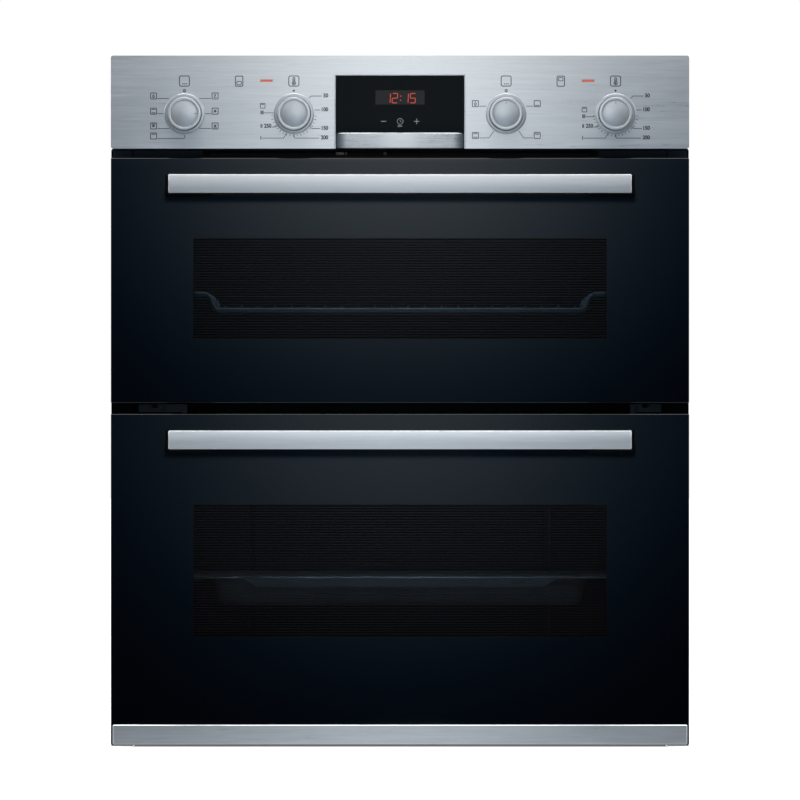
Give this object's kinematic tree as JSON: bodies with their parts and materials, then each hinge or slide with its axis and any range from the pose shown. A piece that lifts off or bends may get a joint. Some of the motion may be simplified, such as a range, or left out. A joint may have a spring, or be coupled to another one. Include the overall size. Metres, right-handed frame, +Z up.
{
  "type": "wall oven",
  "caption": "Built-in double oven: small top oven over a larger main oven, two drop-down glass doors with bar handles, four retractable dials and a clock display.",
  "frame": {"origin": "centre of the underside of the base, half-way back in the niche", "axes": "+Z up, -Y out of the front (the doors open towards -Y), +X to the user's right"},
  "size_m": [0.594, 0.593, 0.7105],
  "materials": {
    "brushed_steel": "horizontally brushed stainless steel",
    "galvanised_steel": "galvanised sheet, dull metallic spangle",
    "chromed_wire": "bright chromed wire",
    "black_glass": "black toughened glass with a fine line print over the window",
    "display_glass": "gloss black display window",
    "clear_glass": "clear toughened glass",
    "black_enamel": "satin black enamel",
    "grey_enamel": "speckled gloss enamel",
    "black_plastic": "satin black",
    "silver_plastic": "satin silver paint",
    "orange_lens": "translucent orange",
    "seal_rubber": "woven silicone seal",
    "heater_sheath": "heat-stained steel sheath",
    "switch_plastic": "ceramic-filled moulding"
  },
  "bodies": {
    "body": {"base_pan": "galvanised_steel", "blower_housing": "galvanised_steel", "control_fascia": "brushed_steel", "convection_motor": "galvanised_steel", "display_trim": "brushed_steel", "display_window": "display_glass", "fan_baffle": "grey_enamel", "front_frame": "black_enamel", "main_cavity": "grey_enamel", "main_door_seal": "seal_rubber", "main_function_bezel": "silver_plastic", "main_function_switch": "switch_plastic", "main_grill_element": "heater_sheath", "main_lamp_lens": "clear_glass", "main_left_hinge_arm": "galvanised_steel", "main_left_rack": "chromed_wire", "main_right_hinge_arm": "galvanised_steel", "main_right_rack": "chromed_wire", "main_temperature_bezel": "silver_plastic", "main_temperature_thermostat": "switch_plastic", "outer_casing": "galvanised_steel", "pilot_light_guide": "orange_lens", "rear_cover": "galvanised_steel", "terminal_cover": "black_plastic", "timer_module": "switch_plastic", "top_cavity": "grey_enamel", "top_door_seal": "seal_rubber", "top_function_bezel": "silver_plastic", "top_function_switch": "switch_plastic", "top_grill_element": "heater_sheath", "top_left_hinge_arm": "galvanised_steel", "top_right_hinge_arm": "galvanised_steel", "top_temperature_bezel": "silver_plastic", "top_temperature_thermostat": "switch_plastic"},
    "top_door": {"top_outer_glass": "black_glass", "top_inner_glass": "clear_glass", "top_door_frame": "black_plastic", "top_handle_bar": "brushed_steel", "top_left_handle_post": "black_plastic", "top_right_handle_post": "black_plastic"},
    "main_door": {"main_outer_glass": "black_glass", "main_inner_glass": "clear_glass", "main_door_frame": "black_plastic", "main_handle_bar": "brushed_steel", "main_left_handle_post": "black_plastic", "main_right_handle_post": "black_plastic", "main_door_trim": "brushed_steel"},
    "wire_shelf": {"wire_shelf": "chromed_wire", "wire_shelf_grid": "chromed_wire"},
    "universal_pan": {"universal_pan": "grey_enamel"},
    "convection_fan": {"convection_fan": "galvanised_steel"},
    "blower_wheel": {"blower_wheel": "galvanised_steel"},
    "main_function_spindle": {"main_function_shaft": "galvanised_steel"},
    "main_function_knob": {"main_function_knob": "silver_plastic"},
    "main_temperature_spindle": {"main_temperature_shaft": "galvanised_steel"},
    "main_temperature_knob": {"main_temperature_knob": "silver_plastic"},
    "top_function_spindle": {"top_function_shaft": "galvanised_steel"},
    "top_function_knob": {"top_function_knob": "silver_plastic"},
    "top_temperature_spindle": {"top_temperature_shaft": "galvanised_steel"},
    "top_temperature_knob": {"top_temperature_knob": "silver_plastic"}
  },
  "joints": [
    {"name": "top_door_hinge", "type": "hinge", "parent": "body", "child": "top_door", "pos_m": [0, -0.2745, 0.3616], "axis": [1, 0, 0], "range_deg": [0, 90], "stiffness_Nm_per_rad": 3, "springref_deg": -20.05},
    {"name": "main_door_hinge", "type": "hinge", "parent": "body", "child": "main_door", "pos_m": [0, -0.2745, 0.011], "axis": [1, 0, 0], "range_deg": [0, 90], "stiffness_Nm_per_rad": 6, "springref_deg": -20.05},
    {"name": "main_function_turn", "type": "hinge", "parent": "body", "child": "main_function_spindle", "pos_m": [-0.2214, -0.2845, 0.6507], "axis": [0, 1, 0], "continuous": true},
    {"name": "main_function_push", "type": "slide", "parent": "main_function_spindle", "child": "main_function_knob", "axis": [0, 1, 0], "range_m": [0, 0.012]},
    {"name": "main_temperature_turn", "type": "hinge", "parent": "body", "child": "main_temperature_spindle", "pos_m": [-0.109, -0.2845, 0.6507], "axis": [0, 1, 0], "range_deg": [-135, 140]},
    {"name": "main_temperature_push", "type": "slide", "parent": "main_temperature_spindle", "child": "main_temperature_knob", "axis": [0, 1, 0], "range_m": [0, 0.012]},
    {"name": "top_function_turn", "type": "hinge", "parent": "body", "child": "top_function_spindle", "pos_m": [0.109, -0.2845, 0.6507], "axis": [0, 1, 0], "continuous": true},
    {"name": "top_function_push", "type": "slide", "parent": "top_function_spindle", "child": "top_function_knob", "axis": [0, 1, 0], "range_m": [0, 0.012]},
    {"name": "top_temperature_turn", "type": "hinge", "parent": "body", "child": "top_temperature_spindle", "pos_m": [0.2214, -0.2845, 0.6507], "axis": [0, 1, 0], "range_deg": [0, 275]},
    {"name": "top_temperature_push", "type": "slide", "parent": "top_temperature_spindle", "child": "top_temperature_knob", "axis": [0, 1, 0], "range_m": [0, 0.012]},
    {"name": "wire_shelf_slide", "type": "slide", "parent": "body", "child": "wire_shelf", "axis": [0, -1, 0], "range_m": [0, 0.04]},
    {"name": "universal_pan_slide", "type": "slide", "parent": "body", "child": "universal_pan", "axis": [0, -1, 0], "range_m": [0, 0.038]},
    {"name": "convection_fan_spin", "type": "hinge", "parent": "body", "child": "convection_fan", "pos_m": [0, 0.178, 0.181], "axis": [0, 1, 0], "continuous": true},
    {"name": "blower_spin", "type": "hinge", "parent": "body", "child": "blower_wheel", "pos_m": [0, -0.115, 0.642], "axis": [1, 0, 0], "continuous": true}
  ]
}
